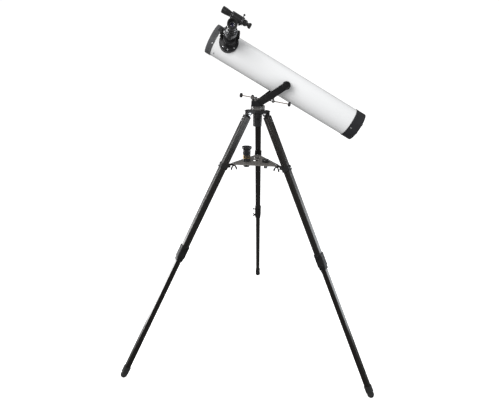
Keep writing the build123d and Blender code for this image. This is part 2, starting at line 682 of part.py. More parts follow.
# ---------------------------------------------------------------- files
def save_tripod():
    save("tripod_hub", tripod_hub())
    save("leg_pivot_bolts", as_group([leg_pivot_bolt(a) for a in LEG_AZIMUTHS.values()]))
    save("leg_top_brackets", as_group([leg_frame(a) * leg_top_bracket() for a in LEG_AZIMUTHS.values()]))
    knobs = []
    for name, azimuth in LEG_AZIMUTHS.items():
        frame = leg_frame(azimuth)
        side = LEG_SCREW_SIDE[name]
        save(f"upper_leg_{name}", frame * grooved_tube(UPPER_LEG, LEG_WALL, 5, 28, UPPER_END))
        save(f"lower_leg_{name}", frame * grooved_tube(LOWER_LEG, LEG_WALL, 4, LOWER_START, LOWER_END))
        save(f"knee_clamp_{name}", frame * knee_clamp(side))
        save(f"knee_screw_{name}", frame * knee_screw(side))
        save(f"rubber_foot_{name}", rubber_foot(azimuth))
        knobs.append(frame * stop_knob(side))
    save("knee_stop_knobs", as_group(knobs))
    save("tray_collars", as_group([tray_collar(a) for a in LEG_AZIMUTHS.values()]))
    save("tray_screws", as_group([tray_screw(a) for a in LEG_AZIMUTHS.values()]))
    save("accessory_tray", accessory_tray())
    save("barlow_lens", barlow())
    save("spare_eyepiece", spare_eyepiece())
    save("spare_barrel", spare_barrel())


def save_head():
    save("azimuth_head", azimuth_head())
    save("azimuth_lock_screw", azimuth_lock_screw())
    save("fork", fork())
    save("spindle_nut", spindle_nut())
    save("slow_motion_screw", slow_motion_screw())
    save("slow_motion_knobs", as_group(slow_motion_knobs()))
    save("slow_motion_nut", slow_motion_nut())
    save("slow_motion_post", slow_motion_post())
    save("bearing_thumb_nut", bearing_thumb_nut())
    save("slow_motion_bearing", slow_motion_bearing())


def save_tube():
    save("main_tube", TUBE * main_tube())
    save("front_ring", TUBE * front_ring())
    save("rear_cell", TUBE * rear_cell())
    save("mirror_cell", TUBE * mirror_cell())
    save("primary_mirror", TUBE * primary_mirror())
    save("mirror_clips", as_group([TUBE * mirror_clip(a) for a in (90, 210, 330)]))
    save("collimation_screws", as_group([TUBE * collimation_screw(a) for a in range(0, 360, 60)]))
    stations = (TUBE_FRONT + 22, TUBE_REAR - REAR_CELL + 14)
    save("ring_screws", as_group([TUBE * ring_screw(s, a) for s in stations for a in RING_SCREW_ANGLES]))
    save("spider", TUBE * spider())
    save("secondary_holder", TUBE * secondary_holder())
    save("secondary_mirror", TUBE * secondary_mirror())
    save("trunnions", as_group([TUBE * trunnion(side) for side in (-1, 1)]))
    for name, side in (("near", -1), ("far", 1)):
        save(f"altitude_knob_{name}", TUBE * altitude_knob(side))


def save_focuser():
    frame = TUBE * FOCUSER
    save("focuser_base", frame * focuser_base())
    save("drawtube", frame * drawtube())
    save("focus_shaft", frame * focus_shaft())
    save("focus_knobs", as_group([frame * k for k in focus_knobs()]))
    save("eyepiece_setscrews", as_group([frame * eyepiece_setscrew(a) for a in (175, 265)]))
    save("eyepiece", frame * eyepiece())
    save("eyecup", frame * eyecup())


def save_finder():
    frame = TUBE * FINDER
    save("finder_bracket", frame * finder_bracket())
    save("finder_tube", frame * finder_tube())
    save("finder_lenses", as_group([frame * finder_lens(-419, 12.9), frame * finder_lens(-284, 5.4)]))
    save("finder_screws", as_group([frame * finder_screw(a) for a in (0, 120, 240)]))


save_tripod()
save_head()
save_tube()
save_focuser()
save_finder()
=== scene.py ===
import json
import math

import bmesh
import bpy
from mathutils import Matrix, Vector


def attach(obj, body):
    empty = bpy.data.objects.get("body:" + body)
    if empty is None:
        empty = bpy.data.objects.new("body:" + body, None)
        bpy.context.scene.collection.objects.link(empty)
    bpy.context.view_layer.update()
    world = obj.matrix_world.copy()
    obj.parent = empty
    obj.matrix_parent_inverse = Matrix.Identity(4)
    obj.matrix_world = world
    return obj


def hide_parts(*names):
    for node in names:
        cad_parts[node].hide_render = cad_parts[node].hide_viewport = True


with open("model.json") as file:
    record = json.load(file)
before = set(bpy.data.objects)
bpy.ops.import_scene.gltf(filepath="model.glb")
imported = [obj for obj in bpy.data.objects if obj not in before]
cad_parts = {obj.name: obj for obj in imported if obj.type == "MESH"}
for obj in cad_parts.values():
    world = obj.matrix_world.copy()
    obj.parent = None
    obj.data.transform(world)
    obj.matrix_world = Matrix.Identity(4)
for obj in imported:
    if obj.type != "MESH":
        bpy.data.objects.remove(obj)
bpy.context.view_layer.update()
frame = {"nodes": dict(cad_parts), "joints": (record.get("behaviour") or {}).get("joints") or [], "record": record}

# Newtonian reflector on a fork and tripod: finishes, small parts, light and camera.
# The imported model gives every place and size; pieces are drawn in millimetres in the
# frame of the part they belong to, then scaled to metres.
MM = 0.001
NODES = frame["nodes"]
JOINTS = {joint["name"]: joint for joint in frame["joints"]}
SLOTS = {m["slot"]: m for m in frame["record"]["materials"]}
LEGS = ("left", "right", "rear")
LEG_ANGLES = (210, 330, 90)  # degrees from +X, seen from above, in the order of LEGS
RING_SCREW_ANGLES = (102, 222, 342)
WORLD_UP = Vector((0, 0, 1))
QUARTER_TURN = math.radians(90)


# ---------------------------------------------------------------- frames, all read from the model
def axis_of(joint):
    return Vector(JOINTS[joint]["axis"]).normalized()


def point_of(joint):
    return Vector(JOINTS[joint]["pos_m"])


def place(origin, z_axis, x_hint):
    """Millimetre frame at a point in metres, with Z along z_axis and X as near x_hint as it can be."""
    z = Vector(z_axis).normalized()
    x = (Vector(x_hint) - z * Vector(x_hint).dot(z)).normalized()
    turn = Matrix((x, z.cross(x), z)).transposed().to_4x4()
    return Matrix.Translation(origin) @ turn @ Matrix.Scale(MM, 4)


def span(node, at):
    """Lowest and highest corner of a CAD node in a frame's own axes, in millimetres."""
    inverse = at.inverted()
    points = [inverse @ v.co for v in NODES[node].data.vertices]
    low = Vector([min(p[i] for p in points) for i in range(3)])
    high = Vector([max(p[i] for p in points) for i in range(3)])
    return low, high


def centred(at, node):
    """The frame moved sideways so that its Z runs down the middle of a node."""
    low, high = span(node, at)
    return at @ Matrix.Translation(((low.x + high.x) / 2, (low.y + high.y) / 2, 0))


PIVOT = point_of("altitude_tilt")
FOCUS_DIR = axis_of("focus_travel")
TUBE_UP = Vector((FOCUS_DIR.x, 0, FOCUS_DIR.z)).normalized()
REARWARD = axis_of("altitude_tilt").cross(TUBE_UP)
TUBE = place(PIVOT, REARWARD, TUBE_UP)
FOCUSER = centred(place(PIVOT, FOCUS_DIR, axis_of("focus_turn")), "eyepiece")
FINDER = centred(TUBE, "finder_tube")
ROD = centred(place(point_of("slow_motion_turn"), axis_of("slow_motion_turn"), WORLD_UP),
              "slow_motion_screw")
VERTICAL = place((0, 0, 0), WORLD_UP, (1, 0, 0))
BARLOW = centred(VERTICAL, "barlow_lens")
SPARE = centred(VERTICAL, "spare_eyepiece")


def leg_frame(name):
    """Frame of one leg: Z up the leg, X its outer face."""
    up = axis_of(f"leg_extension_{name}")
    outward = Vector((-up.x, -up.y, 0))
    return centred(place((0, 0, 0), up, outward), f"lower_leg_{name}")


LEG_FRAMES = {name: leg_frame(name) for name in LEGS}


# ---------------------------------------------------------------- finishes
class Recipe:
    """Node tree of one finish: object coordinates, stretched along a direction if the surface has one."""

    def __init__(self, name, direction=None):
        self.material = bpy.data.materials.new(name)
        self.material.use_nodes = True
        self.nodes = self.material.node_tree.nodes
        self.links = self.material.node_tree.links
        self.shader = self.nodes["Principled BSDF"]
        coordinates = self.nodes.new("ShaderNodeTexCoord")
        self.mapping = self.nodes.new("ShaderNodeMapping")
        self.mapping.vector_type = "TEXTURE"
        self.links.new(coordinates.outputs["Object"], self.mapping.inputs["Vector"])
        if direction is not None:
            turn = Vector(direction).to_track_quat("Z", "Y").to_euler()
            self.mapping.inputs["Rotation"].default_value = turn
        self.vector = self.mapping.outputs["Vector"]

    def node(self, kind, **settings):
        made = self.nodes.new(kind)
        for key, value in settings.items():
            setattr(made, key, value)
        return made

    def fill(self, node, **values):
        """Sets or links a node's inputs; an underscore stands for the space in an input's name."""
        for key, value in values.items():
            socket = node.inputs[key.replace("_", " ")]
            if isinstance(value, bpy.types.NodeSocket):
                self.links.new(value, socket)
            elif isinstance(value, tuple):
                socket.default_value = (*value, 1)
            else:
                socket.default_value = value

    def set(self, **values):
        self.fill(self.shader, **values)

    def noise(self, scale, detail=3.0, roughness=0.55, stretch=1.0):
        """Noise in 1/metres; a stretch above 1 draws it out along the direction."""
        source = self.vector
        if stretch != 1.0:
            squeeze = self.node("ShaderNodeVectorMath", operation="MULTIPLY")
            squeeze.inputs[1].default_value = (1, 1, 1 / stretch)
            self.links.new(source, squeeze.inputs[0])
            source = squeeze.outputs[0]
        made = self.node("ShaderNodeTexNoise")
        self.fill(made, Scale=scale, Detail=detail, Roughness=roughness, Vector=source)
        return made.outputs["Fac"]

    def spread(self, source, low, high, start=0.3, end=0.7):
        """Maps a value between start and end to the range low to high."""
        made = self.node("ShaderNodeMapRange")
        self.fill(made, From_Min=start, From_Max=end, To_Min=low, To_Max=high, Value=source)
        return made.outputs["Result"]

    def blend(self, factor, first, second):
        """Colour between two; each is a colour or another node's output."""
        made = self.node("ShaderNodeMix", data_type="RGBA")
        self.links.new(factor, made.inputs["Factor"])
        for socket, value in (("A", first), ("B", second)):
            target = [s for s in made.inputs if s.name == socket and s.type == "RGBA"][0]
            if isinstance(value, (tuple, list)):
                target.default_value = (*value[:3], 1)
            else:
                self.links.new(value, target)
        return [s for s in made.outputs if s.type == "RGBA"][0]

    def rounding(self, radius):
        """Normal that softens edges within a radius, in metres."""
        made = self.node("ShaderNodeBevel", samples=4)
        self.fill(made, Radius=radius)
        return made.outputs["Normal"]

    def edge(self, radius, low=0.02, high=0.25):
        """1 along worn edges and 0 on faces."""
        soft = self.rounding(radius)
        flat = self.node("ShaderNodeNewGeometry").outputs["Normal"]
        dot = self.node("ShaderNodeVectorMath", operation="DOT_PRODUCT")
        self.links.new(soft, dot.inputs[0])
        self.links.new(flat, dot.inputs[1])
        return self.spread(dot.outputs["Value"], 1, 0, 1 - high, 1 - low)

    def bump(self, source, strength, distance, normal):
        made = self.node("ShaderNodeBump")
        self.fill(made, Strength=strength, Distance=distance, Height=source, Normal=normal)
        return made.outputs["Normal"]


def shade(colour, factor):
    return tuple(min(1.0, c * factor) for c in colour[:3])


def base_of(slot):
    return tuple(SLOTS[slot]["base_color"])


def painted(slot, roughness, mottle=0.12, grain=700, grain_height=0.00004, coat=0.0, wear=0.25, edge=0.0006,
            colour=None):
    """Paint or powder coat: faint mottling, fine orange peel and lighter rubbed edges."""
    colour = colour or base_of(slot)
    made = Recipe(slot)
    patches = made.noise(22, 4)
    tone = made.blend(patches, shade(colour, 1 - mottle), shade(colour, 1 + mottle))
    worn = made.spread(made.edge(edge), 0, wear)
    lighter = tuple(min(0.95, c * 1.6 + 0.05) for c in colour)
    peel = made.noise(grain, 2)
    made.set(Base_Color=made.blend(worn, tone, lighter), Metallic=0.0,
             Roughness=made.spread(made.noise(60, 3), roughness - 0.05, roughness + 0.06),
             Normal=made.bump(peel, 0.35, grain_height, made.rounding(edge)),
             Specular_IOR_Level=0.2, Coat_Weight=coat, Coat_Roughness=0.12)
    return made


def anodised(slot, direction, name=None, roughness=0.34, streak=0.3):
    """Extruded aluminium, anodised: brushed streaks along its length and brighter edges."""
    colour = base_of(slot)
    made = Recipe(name or slot, direction)
    fine = made.noise(2600, 2, stretch=90)
    broad = made.noise(160, 3, stretch=30)
    tone = made.blend(broad, shade(colour, 1 - streak), shade(colour, 1 + streak))
    lines = made.blend(made.spread(fine, 0, 0.5), tone, shade(colour, 1.7))
    worn = made.spread(made.edge(0.0007), 0, 0.35)
    made.set(Base_Color=made.blend(worn, lines, shade(colour, 3)), Metallic=0.3,
             Roughness=made.spread(fine, roughness - 0.06, roughness + 0.1),
             Normal=made.bump(fine, 0.06, 0.00002, made.rounding(0.0012)),
             Specular_IOR_Level=0.3, Coat_Weight=0.6, Coat_Roughness=0.15)
    return made


def plated(slot, roughness, colour=None, name=None):
    """Polished or plated metal with hairline scratches and a slightly uneven shine."""
    colour = colour or base_of(slot)
    made = Recipe(name or slot)
    cloud = made.noise(45, 4)
    hair = made.noise(1800, 3)
    made.set(Base_Color=made.blend(cloud, shade(colour, 0.9), shade(colour, 1.05)), Metallic=1.0,
             Roughness=made.spread(hair, roughness, roughness + 0.12),
             Normal=made.bump(hair, 0.12, 0.00002, made.rounding(0.0003)))
    return made


def plastic(slot, roughness, texture=1400, colour=None, name=None, edge=0.0005):
    """Moulded plastic: spark-eroded grain, faint flow marks and polished edges."""
    colour = colour or base_of(slot)
    made = Recipe(name or slot)
    flow = made.noise(30, 4)
    grain = made.noise(texture, 2)
    tone = made.blend(flow, shade(colour, 0.8), shade(colour, 1.25))
    rubbed = made.spread(made.edge(edge), 0, 0.3)
    made.set(Base_Color=made.blend(rubbed, tone, shade(colour, 2.5)), Metallic=0.0,
             Roughness=made.spread(flow, roughness - 0.06, roughness + 0.08),
             Normal=made.bump(grain, 0.4, 0.00005, made.rounding(edge)), Specular_IOR_Level=0.22)
    return made


def rubber(slot):
    """Matte rubber with dust in its pores."""
    colour = base_of(slot)
    made = Recipe(slot)
    dust = made.noise(240, 5, 0.7)
    pores = made.noise(2200, 2)
    made.set(Base_Color=made.blend(made.spread(dust, 0, 0.6, 0.45, 0.8), colour, shade(colour, 3)),
             Metallic=0.0, Roughness=made.spread(dust, 0.62, 0.85),
             Normal=made.bump(pores, 0.5, 0.00006, made.rounding(0.0006)))
    return made


def glass(slot):
    """Coated lens: dark, with the coating's reflection painted into its colour, violet to green with the viewing
    angle.
    """
    violet, green = (0.04, 0.035, 0.09), (0.03, 0.08, 0.06)
    made = Recipe(slot)
    facing_share = made.node("ShaderNodeLayerWeight").outputs["Facing"]
    # Painted reflection: the coating's violet to green tint goes into the base colour by how squarely the surface
    # faces the view.
    painted_coating_reflection = made.blend(made.spread(facing_share, 0, 1, 0.1, 0.9), violet, green)
    dust = made.noise(900, 3)
    made.set(Base_Color=painted_coating_reflection, Metallic=0.0, Roughness=made.spread(dust, 0.02, 0.07), IOR=1.52,
             Transmission_Weight=0.35, Coat_Weight=1.0, Coat_Roughness=0.02)
    return made


ENAMEL_DEPTH = 1.1  # below the tube's outer face, inside its wall: nearer the axis it is flat black


def tube_enamel():
    """White enamel outside, flat black inside: the side is told by the distance from the tube's axis."""
    made = painted("tube_paint", 0.2, mottle=0.012, grain=420, grain_height=0.00003, coat=0.35, wear=0.0)
    enamel_radius = (span("main_tube", TUBE)[1].x - ENAMEL_DEPTH) * MM
    coordinates = made.node("ShaderNodeTexCoord").outputs["Object"]
    arm = made.node("ShaderNodeVectorMath", operation="SUBTRACT")
    arm.inputs[1].default_value = PIVOT
    made.links.new(coordinates, arm.inputs[0])
    across = made.node("ShaderNodeVectorMath", operation="CROSS_PRODUCT")
    across.inputs[1].default_value = REARWARD
    made.links.new(arm.outputs[0], across.inputs[0])
    distance = made.node("ShaderNodeVectorMath", operation="LENGTH")
    made.links.new(across.outputs[0], distance.inputs[0])
    outside = made.node("ShaderNodeMath", operation="GREATER_THAN")
    outside.inputs[1].default_value = enamel_radius
    made.links.new(distance.outputs["Value"], outside.inputs[0])
    enamel = made.shader.inputs["Base Color"].links[0].from_socket
    made.set(Base_Color=made.blend(outside.outputs[0], (0.012, 0.012, 0.012), enamel),
             Roughness=made.spread(outside.outputs[0], 0.8, 0.2, 0, 1),
             Coat_Weight=made.spread(outside.outputs[0], 0.0, 0.35, 0, 1))
    return made


def mirror():
    """Aluminised glass: a clean mirror with a faint haze."""
    made = plated("mirror_coating", 0.01)
    made.set(Roughness=made.spread(made.noise(90, 4), 0.01, 0.05))
    return made


FINISHES = {
    "hub_casting": painted("hub_casting", 0.38, grain=900, coat=0.15, wear=0.3),
    "bright_steel": plated("bright_steel", 0.16),
    "black_plastic": plastic("black_plastic", 0.42),
    "knob_plastic": plastic("knob_plastic", 0.3, texture=900),
    "tray_metal": painted("tray_metal", 0.36, mottle=0.05, grain=1200, coat=0.1, wear=0.3,
                          colour=(0.17, 0.16, 0.15)),
    "anodised_black": anodised("anodised_black", REARWARD, roughness=0.3),
    "chrome": plated("chrome", 0.07),
    "head_metal": painted("head_metal", 0.3, grain=900, coat=0.5, wear=0.35, colour=(0.13, 0.125, 0.12)),
    "fork_paint": painted("fork_paint", 0.4, grain=1500, grain_height=0.00008, wear=0.25, edge=0.001),
    "tube_paint": tube_enamel(),
    "cell_plastic": plastic("cell_plastic", 0.3, texture=1100, edge=0.0008),
    "mirror_coating": mirror(),
    "focuser_plastic": plastic("focuser_plastic", 0.34, texture=1200, edge=0.0008),
    "soft_rubber": rubber("soft_rubber"),
    "lens_glass": glass("lens_glass"),
    "leg_anodised": anodised("leg_anodised", WORLD_UP),
    "lower_leg_anodised": anodised("lower_leg_anodised", WORLD_UP),
    "foot_rubber": rubber("foot_rubber"),
}
GOLD = plated("chrome", 0.25, colour=(0.5, 0.34, 0.13), name="gold_band")
DARK_ROD = plated("chrome", 0.3, colour=(0.23, 0.19, 0.165), name="slow_motion_rod")
DARK_RING = plated("focuser_plastic", 0.25, colour=(0.22, 0.22, 0.23), name="dark_ring")
# Lighter copy of the cell plastic for the front ring: a painted highlight, the same plastic as the rear cell made
# brighter.
FRONT_RING_PAINTED_HIGHLIGHT = plastic("cell_plastic", 0.3, texture=1100, edge=0.0008, colour=(0.095, 0.096, 0.1),
                     name="front_ring")
LEG_FINISHES = {}
for leg in LEGS:
    way = axis_of(f"leg_extension_{leg}")
    LEG_FINISHES[f"upper_leg_{leg}"] = anodised("leg_anodised", way, f"upper_leg_{leg}")
    LEG_FINISHES[f"lower_leg_{leg}"] = anodised("lower_leg_anodised", way, f"lower_leg_{leg}")


def finish_of_node(node):
    """The finish of a CAD node, from the record's slots."""
    if node in LEG_FINISHES:
        return LEG_FINISHES[node].material
    # The front ring takes the lighter copy of the cell plastic, a painted highlight.
    if node == "front_ring":
        return FRONT_RING_PAINTED_HIGHLIGHT.material
    for part in frame["record"]["subparts"]:
        if part.get("node") == node or part.get("name") == node:
            return FINISHES[part["material_slot"]].material
    raise ValueError(f"{node} has no slot")


for node_name, cad in NODES.items():
    surface = finish_of_node(node_name)
    cad.data.materials.clear()
    cad.data.materials.append(surface)


# ---------------------------------------------------------------- mesh tools
def quad_grid(bm, rows, close_rows=False, close_columns=True):
    """Faces between rows of points; a row of one point is a pole."""
    made = [[bm.verts.new(p) for p in row] for row in rows]
    pairs = list(zip(made, made[1:]))
    if close_rows:
        pairs.append((made[-1], made[0]))
    for a, b in pairs:
        count = max(len(a), len(b))
        last = count if close_columns else count - 1
        for i in range(last):
            corners = [a[i % len(a)], a[(i + 1) % len(a)], b[(i + 1) % len(b)], b[i % len(b)]]
            unique = [v for n, v in enumerate(corners) if v not in corners[:n]]
            if len(unique) > 2:
                bm.faces.new(unique)
    return made


def turn_point(radius, angle, z):
    return Vector((radius * math.cos(angle), radius * math.sin(angle), z))


def turned(bm, profile, segments=64, closed=True):
    """Surface of revolution about Z from (radius, height) points."""
    rows = []
    for radius, z in profile:
        count = 1 if radius == 0 else segments
        rows.append([turn_point(radius, math.tau * i / segments, z) for i in range(count)])
    quad_grid(bm, rows, close_rows=closed and profile[0][0] > 0)


def ring(bm, radius, thickness, z, segments=96, sides=12):
    """Bead about Z."""
    rows = []
    for i in range(sides):
        angle = math.tau * i / sides
        r = radius + thickness * math.cos(angle)
        rows.append([turn_point(r, math.tau * n / segments, z + thickness * math.sin(angle))
                     for n in range(segments)])
    quad_grid(bm, rows, close_rows=True)


def thread(bm, radius, depth, pitch, start, end):
    """Screw thread about Z: a cylinder whose radius follows the helix."""
    around = 24
    per_turn = 6
    steps = int((end - start) / pitch * per_turn)
    rows = [[Vector((0, 0, start))]]
    for n in range(steps + 1):
        z = start + (end - start) * n / steps
        row = []
        for i in range(around):
            phase = (z / pitch - i / around) % 1.0
            crest = 1 - abs(2 * phase - 1)
            row.append(turn_point(radius - depth * (1 - crest), math.tau * i / around, z))
        rows.append(row)
    rows.append([Vector((0, 0, end))])
    quad_grid(bm, rows)


def sub(bm, at, draw, *args, **options):
    """Draws a shape in a frame of its own inside a piece."""
    before = set(bm.verts)
    draw(bm, *args, **options)
    added = [v for v in bm.verts if v not in before]
    bmesh.ops.transform(bm, matrix=at, verts=added)


def plate(bm, outline, low, high):
    """Prism on Z from an outline of (x, y) points."""
    rows = [[Vector((x, y, z)) for x, y in outline] for z in (low, high)]
    made = quad_grid(bm, rows)
    bm.faces.new(list(reversed(made[0])))
    bm.faces.new(made[1])


def rounded_outline(width, height, radius, steps=5, centre=(0.0, 0.0)):
    points = []
    corners = ((1, 1, 0), (-1, 1, 90), (-1, -1, 180), (1, -1, 270))
    for sx, sy, begin in corners:
        cx = centre[0] + sx * (width / 2 - radius)
        cy = centre[1] + sy * (height / 2 - radius)
        for i in range(steps + 1):
            angle = math.radians(begin + 90 * i / steps)
            points.append((cx + radius * math.cos(angle), cy + radius * math.sin(angle)))
    return points


def block(bm, x, y, z, radius=1.0):
    """Rounded bar between the two ends given for each axis."""
    outline = rounded_outline(x[1] - x[0], y[1] - y[0], radius,
                              centre=((x[0] + x[1]) / 2, (y[0] + y[1]) / 2))
    plate(bm, outline, *z)


def screw_head(bm, radius, height):
    """Domed head on Z with a cross sunk in its crown."""
    steps = 18
    cross_reach, cross_width, recess = 0.62, 0.2, 0.55
    rows = []
    for j in range(steps + 1):
        v = 2 * j / steps - 1
        row = []
        for i in range(steps + 1):
            u = 2 * i / steps - 1
            x = u * math.sqrt(1 - v * v / 2)
            y = v * math.sqrt(1 - u * u / 2)
            r = math.hypot(x, y)
            z = height * (0.45 + 0.55 * math.sqrt(max(0.0, 1 - r * r)))
            if min(abs(x), abs(y)) < cross_width and r < cross_reach:
                z -= height * recess
            row.append(Vector((x * radius, y * radius, z)))
        rows.append(row)
    made = quad_grid(bm, rows, close_columns=False)
    rim = made[0] + [row[-1] for row in made[1:]] + made[-1][-2::-1] + [row[0] for row in made[-2:0:-1]]
    foot = [bm.verts.new((v.co.x, v.co.y, 0)) for v in rim]
    for i, v in enumerate(rim):
        n = (i + 1) % len(rim)
        bm.faces.new((v, rim[n], foot[n], foot[i]))
    bm.faces.new(foot)


def hexagon(bm, across, low, high, chamfer=0.6):
    """Hexagonal nut or bolt head on Z, with chamfered corners."""
    rows = []
    for scale, z in ((0.92, low), (1.0, low + chamfer), (1.0, high - chamfer), (0.9, high)):
        rows.append([turn_point(across / math.sqrt(3) * scale, math.tau * i / 6, z) for i in range(6)])
    made = quad_grid(bm, rows)
    bm.faces.new(list(reversed(made[0])))
    bm.faces.new(made[-1])


def piece(name, at, body, slot, draw, *args, finish=None, bevel=0.0, stands_for=(), smooth=38, **options):
    """One piece that rides on a body: draw(), with the other values, fills a mesh in millimetres in `at`."""
    bm = bmesh.new()
    draw(bm, *args, **options)
    bmesh.ops.transform(bm, matrix=at, verts=bm.verts)
    bmesh.ops.recalc_face_normals(bm, faces=bm.faces)
    mesh = bpy.data.meshes.new(name)
    bm.to_mesh(mesh)
    bm.free()
    mesh.shade_smooth()
    mesh.set_sharp_from_angle(angle=math.radians(smooth))
    made = bpy.data.objects.new(name, mesh)
    bpy.context.scene.collection.objects.link(made)
    made.data.materials.append((finish or FINISHES[slot]).material)
    if bevel:
        soften = made.modifiers.new("soften", "BEVEL")
        soften.width = bevel * MM
        soften.segments = 2
        soften.limit_method = "ANGLE"
        soften.angle_limit = math.radians(smooth)
        soften.harden_normals = True
    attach(made, body)
    if stands_for:
        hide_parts(*stands_for)


# ---------------------------------------------------------------- small parts
def facing(x=0.0, y=0.0, z=0.0, turn=0.0, tip=90.0):
    """Matrix that turns a shape's own Z outwards at an angle about Z, then moves it."""
    return (Matrix.Translation((x, y, z)) @ Matrix.Rotation(math.radians(turn), 4, "Z")
            @ Matrix.Rotation(math.radians(tip), 4, "Y"))


def on_rim(angle, radius, z, spin=0.0):
    """Place on the side of a round body: own Z points straight out."""
    side = facing(*turn_point(radius, math.radians(angle), z), angle)
    return side @ Matrix.Rotation(math.radians(spin), 4, "Z")


def circle(radius, z, angles, tip=0.0):
    """Places on a circle about Z, all turned alike; a tip of 180 faces them down."""
    return [facing(*turn_point(radius, math.radians(angle), z), tip=tip) for angle in angles]


def along_arms(reach, y, z):
    """Places on the three arms that the legs hang from."""
    return [facing(z=z, turn=angle, tip=0) @ Matrix.Translation((reach, y, 0)) for angle in LEG_ANGLES]


def band(bm, outline_of, start, end, bulge, lip=0.4, under=0.6):
    """Raised band round a bar; outline_of(grow) gives its outline grown by a distance."""
    section = ((-under, start), (bulge - lip, start), (bulge, start + lip),
               (bulge, end - lip), (bulge - lip, end), (-under, end))
    rows = [[Vector((x, y, z)) for x, y in outline_of(grow)] for grow, z in section]
    quad_grid(bm, rows, close_rows=True)


def bar_outline(width, depth, corner):
    def grown(grow):
        return rounded_outline(width + 2 * grow, depth + 2 * grow, corner + grow)
    return grown


def bands(bm, outline, stations, height, bulge):
    for z in stations:
        band(bm, outline, z - height / 2, z + height / 2, bulge)


def rings(bm, rows, thickness):
    for radius, z in rows:
        ring(bm, radius, thickness, z)


def knurled_ring(bm, radius, start, end, ribs, depth, wall=2.0, crown=0.8):
    """Ribbed tyre round a drum."""
    around = ribs * 6
    section = ((-wall, start), (-0.3 - depth, start), (0.0, start + crown),
               (0.0, end - crown), (-0.3 - depth, end), (-wall, end))
    rows = []
    for grow, z in section:
        row = []
        for i in range(around):
            angle = math.tau * i / around
            wave = 0.5 - 0.5 * math.cos(ribs * angle)
            cut = depth * wave if grow == 0.0 else 0.0
            row.append(turn_point(radius + grow - cut, angle, z))
        rows.append(row)
    quad_grid(bm, rows, close_rows=True)


def lens(bm, radius, z, sag, thickness):
    """Bulged disc whose dome faces +Z."""
    points = [(0, z - thickness), (radius, z - thickness)]
    for i in range(7, -1, -1):
        r = radius * i / 7
        points.append((r, z + sag * (1 - (r / radius) ** 2)))
    turned(bm, points, segments=48, closed=False)


def strip(bm, x, y, z, radius=0.35, sides=8):
    """Half-round bead along Z."""
    rows = []
    for end in z:
        rows.append([Vector((x + radius * math.cos(math.tau * i / sides),
                             y + radius * math.sin(math.tau * i / sides), end)) for i in range(sides)])
    made = quad_grid(bm, rows)
    bm.faces.new(list(reversed(made[0])))
    bm.faces.new(made[1])


def many(bm, places, draw, *args, **options):
    for at in places:
        sub(bm, at, draw, *args, **options)


def washer(bm, bore, radius, start, end):
    lip = min(0.3, (end - start) / 3)
    turned(bm, [(bore, start), (radius - lip, start), (radius, start + lip),
                (radius, end - lip), (radius - lip, end), (bore, end)], segments=48)


def ends_of(node, at):
    low, high = span(node, at)
    return low.z, high.z


# Tube ends: beads along the edges, cross-headed screws, spider nuts
tube_radius = span("main_tube", TUBE)[1].x
ring_radius = span("front_ring", TUBE)[1].x
front_start, front_end = ends_of("front_ring", TUBE)
rear_start, rear_end = ends_of("rear_cell", TUBE)
# The front ring's beads and step take its lighter copy of the cell plastic, a painted highlight.
piece("front_ring_beads", TUBE, "tube", "cell_plastic",
      rings, ((ring_radius - 0.1, front_end - 1.2), (ring_radius - 0.1, front_end - 11.5),
              (ring_radius - 2.2, front_start + 0.6), (63.2, front_start + 0.1)), 0.55, finish=FRONT_RING_PAINTED_HIGHLIGHT)
piece("front_ring_step", TUBE, "tube", "cell_plastic",
      turned, [(ring_radius - 0.6, front_start + 5), (ring_radius + 0.35, front_start + 5.6),
               (ring_radius + 0.35, front_start + 15.4), (ring_radius - 0.6, front_start + 16)],
      segments=128, finish=FRONT_RING_PAINTED_HIGHLIGHT)


def front_ring_window(bm):
    """Raised panel on the rear half of the front ring, between the finder and the focuser."""
    section = ((-0.5, 13.2), (0.4, 13.2), (0.85, 14.0), (0.85, 27.2), (0.4, 28.0), (-0.5, 28.0))
    rows = [[turn_point(ring_radius + grow, math.radians(angle), front_start + z)
             for angle in range(14, 50, 3)] for grow, z in section]
    made = quad_grid(bm, rows, close_rows=True, close_columns=False)
    bm.faces.new([row[0] for row in made])
    bm.faces.new([row[-1] for row in reversed(made)])


piece("front_ring_window", TUBE, "tube", "cell_plastic", front_ring_window)
piece("rear_cell_beads", TUBE, "tube", "cell_plastic",
      rings, ((ring_radius - 0.1, rear_start + 1.2), (ring_radius - 0.1, rear_start + 7),
              (ring_radius - 0.1, rear_end - 9), (ring_radius - 1.0, rear_end - 1.4),
              (62.0, rear_end + 0.1), (36.0, rear_end + 0.1)), 0.5)
piece("rear_cell_ribs", TUBE, "tube", "cell_plastic",
      many, [facing(z=rear_end - 0.2, turn=30 + 60 * i, tip=0) for i in range(6)],
      block, (12, 58), (-1.1, 1.1), (0, 1.3), 0.8, bevel=0.3)
ring_screw_rows = (front_start + 22, rear_start + 14)
ring_places = [on_rim(angle, ring_radius + 0.9, z, spin)
               for z in ring_screw_rows for angle, spin in zip(RING_SCREW_ANGLES, (20, 65, 5))]
piece("ring_screw_heads", TUBE, "tube", "bright_steel", many, ring_places, screw_head, 3.3, 1.5)
piece("ring_screw_washers", TUBE, "tube", "bright_steel",
      many, [on_rim(angle, ring_radius - 0.2, z) for z in ring_screw_rows
             for angle in RING_SCREW_ANGLES], washer, 2.5, 4.6, 0, 0.7)
spider_low, spider_high = ends_of("spider", TUBE)
spider_places = [on_rim(angle, tube_radius - 0.2, (spider_low + spider_high) / 2)
                 for angle in (45, 135, 225, 315)]


def spider_nut(bm):
    washer(bm, 1.5, 5.2, 0, 0.7)
    hexagon(bm, 7, 0.6, 3.4)
    turned(bm, [(0, 6), (1.6, 5.6), (2.6, 4.6), (2.9, 3.3), (0, 3.3)], segments=32, closed=False)


